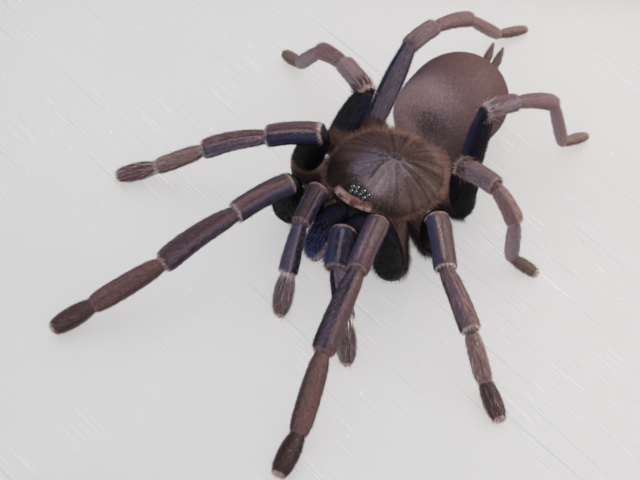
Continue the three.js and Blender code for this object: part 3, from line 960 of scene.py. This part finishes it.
def makeCarapaceHair():
    coat = Coat(carapaceHair["seed"])
    draw = coat.draw
    count = carapaceHair["count"]
    share = np.sqrt(draw.random(count)) * 0.985
    angle = draw.uniform(-np.pi, np.pi, count)
    points, fields = carapaceForm(share, angle)
    wider, _ = carapaceForm(np.minimum(share + 0.01, 0.999), angle)
    slope = (wider[:, 2] - points[:, 2]) / np.maximum(np.hypot(*(wider - points)[:, :2].T), 1e-4)
    normal = unit(np.stack([-slope * np.sin(angle), slope * np.cos(angle), np.ones(count)], -1))
    outward = np.stack([fields["beamX"], -fields["beamY"], np.zeros(count)], -1)
    along = raisedFrom(draw, normal, outward, 5, 24, 0.4)
    bearing = np.arctan2(fields["beamX"], fields["beamY"])
    level = 0.12 + 0.8 * streakLevel(draw, 5 * bearing, 0.4 * fields["away"])
    looks = pick("soot cedar umber umber umber", level)
    # these masks lay painted shade, painted sheens and partly painted golden light onto the hair
    for key, (words, low, high) in carapaceHair["tones"].items():
        looks = np.where(fields[key] > draw.uniform(low, high, count), pick(words, level), looks)
    # painted glints: scattered pale hairs over the painted sheen
    speck = (fields["pale"] + fields["blue"] > 0.4) & (draw.random(count) < carapaceHair["specks"])
    looks = np.where(speck, draw.choice(shade("rose blush"), count), looks)
    lengths = draw.uniform(*carapaceHair["length"], count)
    kept = (fields["strip"] < 0.2) & (fields["mound"] < 0.45)
    coat.short(points[kept], normal[kept], along[kept], lengths[kept], carapaceHair["width"], looks[kept])

    angle = draw.uniform(-np.pi, np.pi, carapaceHair["fringe"])
    angle = angle[np.abs(angle) > np.radians(25)]
    count = len(angle)
    points, _ = carapaceForm(draw.uniform(0.95, 1.0, count), angle)
    points[:, 2] = np.minimum(points[:, 2], carapace["rim"] + 1.0)
    outward = np.stack([np.sin(angle), -np.cos(angle), draw.uniform(-0.5, 0.3, count)], -1)
    normal = unit(outward + np.array([0, 0, 1.0]))
    along = unit(outward + draw.normal(0, 0.25, outward.shape))
    # painted shade: the fringe is darker in front, as over the front of the shield
    front = draw.choice(shade("gold bark bark cedar umber soot"), count)
    rear = draw.choice(shade("gold russet bark bark cocoa"), count)
    looks = np.where(np.abs(angle) < np.radians(100), front, rear)
    behind = np.clip(-np.cos(angle) * 2, 0, 1) * np.where(angle > 0, 0.9, 0.7)
    lengths = draw.uniform(*carapaceHair["fringeLength"], count) * (1 + behind)
    coat.long(points, normal, along, lengths, carapaceHair["fringeWidth"], looks, 0.15)
    coat.piece("carapace_hair", "carapace")


makeCarapace()
makeCarapaceHair()
print("carapace made")

# Eyes: a close cluster on the mound
eyes = {
    "middle": 0.4,
    "places": ((0.62, -8.35, 0.58), (1.25, -9.15, 0.5), (1.55, -8.3, 0.5), (0.42, -9.1, 0.42)),  # x, y, radius
    "sink": 0.45,
    "lenses": {"eye_dark": ((6, 5, 7), (16, 13, 15)), "eye_pearl": ((14, 12, 14), (40, 36, 42))},
}


def makeEyes():
    materials = []
    for name, (dark, light) in eyes["lenses"].items():
        lens = Finish(name)
        tone = lens.noise(lens.place(), 1600.0, 2.0).rise(0.4, 0.6)
        colour = lens.mix(tone, paint(*dark), paint(*light))
        materials.append(lens.surface(BaseColor=colour, Roughness=0.03, IOR=2.3))
    shells = []
    for x, y, radius in eyes["places"]:
        for side in (1, -1):
            across, ahead = (eyes["middle"] + side * x) / carapace["halfWidth"], -y / carapace["halfLength"]
            share, angle = math.hypot(across, ahead), math.atan2(across, ahead)
            seat, _ = carapaceForm(np.array([share]), np.array([angle]))
            shells.append(ball(seat[0] + np.array([0, 0, -radius * eyes["sink"]]), radius, 20, 12))
    points, faces, looks = joined(shells)
    looks = np.minimum(looks // 2, 1)  # the middle pair is dark
    makePiece("eyes", points, faces, materials, looks)


makeEyes()
print("eyes made")

# Abdomen: a velvety egg, redder behind and greyer in front under a painted lilac sheen, with a dark patch over
# its front
abdomen = {
    "middle": (20.6, 8.1),  # y and z
    "half": (8.8, 10.4, 8.2),
    "belly": 7.0,
    "swell": 0.06,
    "blunt": 3.5,
    "skinShare": 0.97,
    # the lilac tone is a painted sheen
    "tones": (("red", 0.8, (112, 80, 72)), ("lilac", 0.8, (132, 114, 122)), ("patch", 0.9, (72, 54, 55))),
    "hairs": 150000,
    "length": (0.3, 0.65),
    "width": 0.046,
    "seed": 57,
}


def eggPoints(ball3, scale):  # blunt in front
    ahead = np.clip(-ball3[..., 1], 0, 0.97)
    blunt = (1 - ahead ** abdomen["blunt"]) ** (1 / abdomen["blunt"]) / np.sqrt(1 - ahead**2)
    swell = (1 + abdomen["swell"] * ball3[..., 1]) * np.minimum(blunt, 1.6)
    half = np.array(abdomen["half"]) * scale
    tall = np.where(ball3[..., 2] > 0, half[2], abdomen["belly"] * scale)
    x = ball3[..., 0] * half[0] * swell
    y = abdomen["middle"][0] + ball3[..., 1] * half[1]
    z = abdomen["middle"][1] + ball3[..., 2] * tall * swell
    return np.stack([x, y, z], -1)


def abdomenTones(points):  # masks for the tones on the egg
    x, y, z = points.T
    return {
        "patch": 0.9 * np.exp(-(((x - 1.0) / 3.4) ** 2) - ((y - 11.4) / 2.5) ** 2 - ((z - 11) / 3.2) ** 2),
        # painted sheen: lighter lilac-grey over the front and left of the egg
        "lilac": np.exp(-(((x + 3) / 7.5) ** 2) - ((y - 12.5) / 5.3) ** 2),
        "red": ramp(y - 14, 8) * ramp(x + 9, 9),
    }


def abdomenFinish():
    skin = Finish("abdomen_velvet")
    cloud = skin.noise(skin.place(), 260.0, 4.0, 0.6)
    fuzz = skin.noise(skin.place(), 3200.0, 3.0, 0.6)
    colour = skin.mix(cloud.rise(0.35, 0.65), paint(92, 72, 72), paint(114, 92, 92))
    for key, strength, tone in abdomen["tones"]:
        colour = skin.mix(skin.field(key) * strength, colour, paint(*tone))
    normal = skin.bump(fuzz, 0.25, 0.6)
    return skin.surface(BaseColor=colour, Roughness=0.8, Normal=normal, SpecularIORLevel=0.2)


def makeAbdomen():
    shape, faces = ball(np.zeros(3), 1.0, 96, 63)
    shape = shape[:, [0, 2, 1]] * np.array([1, 1, -1])  # poles at front and rear
    points = eggPoints(shape, abdomen["skinShare"])
    makePiece("abdomen_skin", points, faces, [abdomenFinish()], fields=abdomenTones(points),
              replaced=("abdomen",))
    coat = Coat(abdomen["seed"])
    draw = coat.draw
    count = abdomen["hairs"]
    shape = unit(draw.normal(size=(count, 3)))
    roots = eggPoints(shape, abdomen["skinShare"])
    normal = unit(shape / np.array(abdomen["half"]))
    backward = np.broadcast_to(np.array([0, 1.0, -0.15]), normal.shape)
    along = raisedFrom(draw, normal, backward, 15, 45, 0.15)
    tones = abdomenTones(roots)
    level = np.clip(draw.normal(0.5, 0.25, count), 0, 0.999)
    # painted sheen: hairs turn lighter lilac under the lilac mask
    soft = np.clip(0.3 + 0.75 * tones["lilac"] + draw.normal(0, 0.13, count), 0, 0.999)
    looks = pick("umber cocoa cocoa mauve lilac rose", soft)
    red = tones["red"] * (1 - tones["lilac"])
    looks = np.where(red > draw.random(count), pick("umber cocoa russet", level), looks)
    looks = np.where(tones["patch"] > draw.uniform(0.2, 1.2, count), pick("umber cocoa cocoa", level), looks)
    coat.short(roots, normal, along, draw.uniform(*abdomen["length"], count), abdomen["width"], looks)
    coat.piece("abdomen_hair", "velvet")


makeAbdomen()
print("abdomen made")


# Round bodies along a smooth line: jaws, fangs and silk fingers
def sweptBody(line, radii, sides, steps):
    line = smoothLine(line, steps)
    reach = np.maximum(smoothLine(np.array(radii)[:, None], steps)[:, 0], 0)
    axis = unit(np.gradient(line, axis=0))
    side = unit(np.cross(axis, np.array([0, 0, 1.0])))
    top = np.cross(side, axis)
    angle = np.linspace(0, 2 * np.pi, sides, endpoint=False)
    out = np.cos(angle)[None, :, None] * top[:, None] + np.sin(angle)[None, :, None] * side[:, None]
    points = line[1:-1, None] + reach[1:-1, None, None] * out[1:-1]
    shell = np.concatenate([points.reshape(-1, 3), line[[0, -1]]])
    faces = ringFaces(len(points), sides)[:, ::-1]
    return shell, faces, out[1:-1].reshape(-1, 3), np.repeat(axis[1:-1], sides, 0)


jaw = {
    "x": 2.1,
    "line": ((-9.6, 5.2), (-10.2, 5.5), (-12, 6.2), (-14.2, 5.9), (-16, 4.8), (-17.6, 3.3), (-18.2, 2.6)),
    "radii": (0.0, 1.8, 1.98, 1.98, 1.9, 1.5, 0.0),
    "fang": ((1.7, -17.2, 2.6), (1.6, -17.9, 1.8), (1.4, -17.2, 1.0), (1.1, -15.6, 0.8), (1.0, -14.4, 1.0)),
    "fangRadii": (0.5, 0.5, 0.42, 0.28, 0.03),
    "hairs": 9000,
    "hairLength": (0.4, 0.8),
    "bristles": 420,
    "bristleLength": (0.9, 1.8),
    "seed": 71,
}


def jawFinish():
    skin = Finish("jaw_blue")
    cloud = skin.noise(skin.place(), 420.0, 3.0)
    fuzz = skin.noise(skin.place(), 3600.0, 2.0)
    colour = skin.mix(cloud.rise(0.38, 0.62), paint(8, 7, 12), paint(22, 24, 46))
    normal = skin.bump(fuzz, 0.2, 0.6)
    return skin.surface(BaseColor=colour, Roughness=0.6 + fuzz * 0.2, Normal=normal, SpecularIORLevel=0.1)


def fangFinish():
    skin = Finish("fang_black")
    tone = skin.noise(skin.place(), 500.0, 3.0)
    colour = skin.mix(tone, paint(14, 11, 12), paint(40, 24, 20))
    return skin.surface(BaseColor=colour, Roughness=0.18 + tone * 0.1, SpecularIORLevel=0.6)


def makeJaws():
    skin, fang = jawFinish(), fangFinish()
    for side, name in ((1, "left"), (-1, "right")):
        mirror = np.array([side, 1, 1])
        line = [(side * jaw["x"], y, z) for y, z in jaw["line"]]
        points, faces, out, axis = sweptBody(line, jaw["radii"], 32, 8)
        makePiece("jaw_" + name, points, faces, [skin], replaced=("chelicera_" + name,))
        tooth, toothFaces, _, _ = sweptBody(np.array(jaw["fang"]) * mirror, jaw["fangRadii"], 16, 8)
        makePiece("fang_" + name, tooth, toothFaces, [fang])
        coat = Coat(jaw["seed"] + side)
        draw = coat.draw
        chosen = draw.choice(len(out), jaw["hairs"])
        roots = points[chosen] + draw.normal(0, 0.15, (jaw["hairs"], 3))
        along = raisedFrom(draw, out[chosen], axis[chosen], 8, 30, 0.15)
        level = np.clip((-13.2 - roots[:, 1]) / 3.8 + draw.normal(0, 0.26, len(roots)), 0, 0.999)
        looks = pick("ink velvet velvet navy royal", level)
        coat.short(roots, out[chosen], along, draw.uniform(*jaw["hairLength"], jaw["hairs"]), 0.06, looks)
        low = np.flatnonzero((points[: len(out), 1] < -16.2) & (out[:, 2] < 0.4))
        chosen = draw.choice(low, jaw["bristles"])
        along = unit(axis[chosen] + 0.35 * out[chosen] + draw.normal(0, 0.2, (len(chosen), 3)))
        looks = draw.choice(shade("lilac blush mauve ivory"), len(chosen))
        lengths = draw.uniform(*jaw["bristleLength"], len(chosen))
        coat.long(points[chosen], out[chosen], along, lengths, 0.05, looks, 0.1)
        coat.piece("jaw_" + name + "_hair", "jaw")


makeJaws()
print("jaws made")

spinneret = {
    "base": (0.8, 30.2, 7.7),
    "tip": (1.0, 35.0, 11.0),
    "drift": -0.6,
    "radii": (0.0, 0.62, 0.7, 0.66, 0.6, 0.64, 0.5, 0.3, 0.0),
    "hairs": 1500,
    "hairLength": (0.3, 0.7),
    "seed": 83,
}


def makeSpinnerets():
    skin = Finish("silk_finger_skin")
    cloud = skin.noise(skin.place(), 900.0, 3.0)
    colour = skin.mix(cloud, paint(84, 70, 60), paint(138, 112, 98))
    material = skin.surface(BaseColor=colour, Roughness=0.7, Normal=skin.bump(cloud, 0.2, 0.5))
    for side, name in ((1, "left"), (-1, "right")):
        mirror = np.array([side, 1, 1])
        base = np.array(spinneret["base"]) * mirror
        tip = np.array(spinneret["tip"]) * mirror + np.array([spinneret["drift"], 0, 0])
        share = np.linspace(0, 1, len(spinneret["radii"]))[:, None]
        line = base + (tip - base) * share + np.array([0, 0, -0.5]) * np.sin(np.pi * share)
        points, faces, out, axis = sweptBody(line, spinneret["radii"], 20, 5)
        makePiece("silk_finger_" + name, points, faces, [material], replaced=("spinneret_" + name,))
        coat = Coat(spinneret["seed"] + side)
        draw = coat.draw
        chosen = draw.choice(len(out), spinneret["hairs"])
        along = raisedFrom(draw, out[chosen], axis[chosen], 12, 40, 0.15)
        looks = draw.choice(shade("mauve umber rose"), len(chosen))
        lengths = draw.uniform(*spinneret["hairLength"], len(chosen))
        coat.short(points[chosen], out[chosen], along, lengths, 0.05, looks)
        coat.piece("silk_finger_" + name + "_hair", "velvet")


makeSpinnerets()
print("spinnerets made")

# Board: white, with fine slanting scratches in patches and a few flecks
board = {"angle": -46.0, "white": (227, 227, 226), "dull": (218, 218, 217), "scratch": (250, 250, 250)}


def boardFinish():
    skin = Finish("white_board")
    place = skin.place()
    fine = skin.noise(skin.turned(place, -board["angle"], (70, 3000, 1)), 1.0, 2.0)
    broad = skin.noise(skin.turned(place, -board["angle"], (25, 900, 1)), 1.0, 2.0)
    patches = skin.noise(place, 34.0, 2.0)
    fleck = skin.noise(place, 900.0, 1.0)
    scratch = fine.rise(0.57, 0.7) * patches.rise(0.42, 0.62)
    dent = broad.rise(0.6, 0.72) * patches.rise(0.36, 0.6)
    colour = skin.mix(skin.noise(place, 18.0, 3.0), paint(*board["dull"]), paint(*board["white"]))
    colour = skin.mix(dent * 0.22, colour, paint(206, 206, 208))
    # painted highlight: the scratches are painted near-white, partly their own wear, partly their glint
    colour = skin.mix(scratch * 0.65, colour, paint(*board["scratch"]))
    colour = skin.mix(fleck.rise(0.79, 0.84), colour, paint(250, 250, 250))
    normal = skin.bump(fine * scratch + broad * dent, 0.12, 0.6)
    return skin.surface(BaseColor=colour, Roughness=0.5 - 0.15 * scratch, Normal=normal, SpecularIORLevel=0.3)


# Rails: dark stained wood with its grain along each rail, paler where the edges are rubbed
rail = {"dark": (34, 25, 20), "light": (74, 54, 40), "rubbed": (104, 78, 58)}


def railFinish(name, alongX):
    skin = Finish(name)
    place = skin.place()
    stretch = (14, 160, 160) if alongX else (160, 14, 160)
    lines = skin.noise(skin.turned(place, 0, stretch), 2.2, 5.0, 0.65)
    pores = skin.noise(skin.turned(place, 0, tuple(7 * s for s in stretch)), 2.0, 2.0)
    colour = skin.mix(lines.rise(0.32, 0.68), paint(*rail["dark"]), paint(*rail["light"]))
    colour = skin.mix(pores.rise(0.58, 0.72) * 0.7, colour, paint(22, 16, 13))
    height = skin.node("ShaderNodeSeparateXYZ", {}, {0: place}, 2)
    rubbed = height.hump(0.0112, 0.0012) * lines.rise(0.45, 0.6)
    colour = skin.mix(rubbed * 0.5, colour, paint(*rail["rubbed"]))
    normal = skin.bump(lines + pores * 0.6, 0.15, 0.5)
    return skin.surface(BaseColor=colour, Roughness=0.42 + lines * 0.2, Normal=normal, CoatWeight=0.15)


def dress(node, material):
    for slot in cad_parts[node].material_slots:
        slot.material = material


dress("backing_board", boardFinish())
railLong, railCross = railFinish("frame_wood_long", True), railFinish("frame_wood_cross", False)
for place, wood in (("front", railLong), ("back", railLong), ("left", railCross), ("right", railCross)):
    dress("frame_rail_" + place, wood)
print("board and frame finished")

# Floor and light
stage = {"half": 1.5, "dull": (220, 220, 218), "floor": (226, 226, 224), "drop": -0.0002,
         "aim": (0.01, 0.005, 0.01), "sky": 0.26}  # lamps aim at one place
lights = {
    "key": dict(place=(0.6, 0.32, 0.62), size=0.5, power=6.6, colour=(255, 250, 245), shadow=False),
    "soft": dict(place=(0.1, 0.5, 0.7), size=1.0, power=0.6, colour=(255, 252, 250), shadow=True),
    "fill": dict(place=(-0.15, -0.7, 0.3), size=0.6, power=1.7, colour=(248, 250, 255), shadow=False),
    "cool": dict(place=(-0.6, 0.1, 0.4), size=0.6, power=1.3, colour=(215, 228, 255), shadow=False),
}


def makeStage():
    half = stage["half"]
    mesh = bpy.data.meshes.new("floor")
    corners = [(half * x, half * y, 0) for x, y in ((-1, -1), (1, -1), (1, 1), (-1, 1))]
    mesh.from_pydata(corners, [], [(0, 1, 2, 3)])
    floor = bpy.data.objects.new("floor", mesh)
    floor.location.z = stage["drop"]
    skin = Finish("floor_paper")
    tone = skin.noise(skin.place(), 30.0, 3.0)
    colour = skin.mix(tone, paint(*stage["dull"]), paint(*stage["floor"]))
    mesh.materials.append(skin.surface(BaseColor=colour, Roughness=0.8))
    scene.collection.objects.link(floor)


def makeLights():
    world = bpy.data.worlds.new("sky")
    world.use_nodes = True
    background = world.node_tree.nodes["Background"]
    background.inputs["Color"].default_value = (1, 1, 1, 1)
    background.inputs["Strength"].default_value = stage["sky"]
    scene.world = world
    for name, light in lights.items():
        data = bpy.data.lights.new(name, "AREA")
        data.shape = "DISK"
        data.size = light["size"]
        data.energy = light["power"]
        data.use_shadow = light["shadow"]
        data.color = paint(*light["colour"])[:3]
        lamp = bpy.data.objects.new(name, data)
        back = unit(np.array(light["place"]) - np.array(stage["aim"]))
        side = unit(np.cross(np.array([0, 0, 1.0]), back))
        aim(lamp, side, np.cross(back, side), back, light["place"])


makeStage()
makeLights()
scene.view_settings.view_transform = "Standard"
print("stage and lights set")
